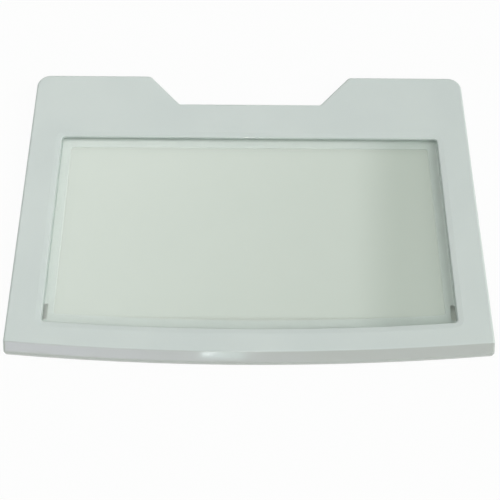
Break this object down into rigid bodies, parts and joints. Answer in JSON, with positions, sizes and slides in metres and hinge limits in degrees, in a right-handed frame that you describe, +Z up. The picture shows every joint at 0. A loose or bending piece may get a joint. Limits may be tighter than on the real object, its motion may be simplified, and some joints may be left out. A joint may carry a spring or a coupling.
{
  "type": "crisper drawer cover",
  "caption": "Shallow moulded plastic frame with a recessed glass pane, a bowed bevelled front and a rear notch, which covers a refrigerator's crisper drawers.",
  "frame": {"origin": "under the middle of the frame, on the plane that its skirt rests on", "axes": "+X to the right along the front edge, +Y from the bowed front to the notched rear, +Z up out of the glass"},
  "size_m": [0.65, 0.4539, 0.017],
  "materials": {
    "frame_plastic": "satin moulded",
    "pane_glass": "clear, faintly green"
  },
  "bodies": {
    "root": {"cover_frame": "frame_plastic", "glass_pane": "pane_glass"}
  },
  "joints": []
}
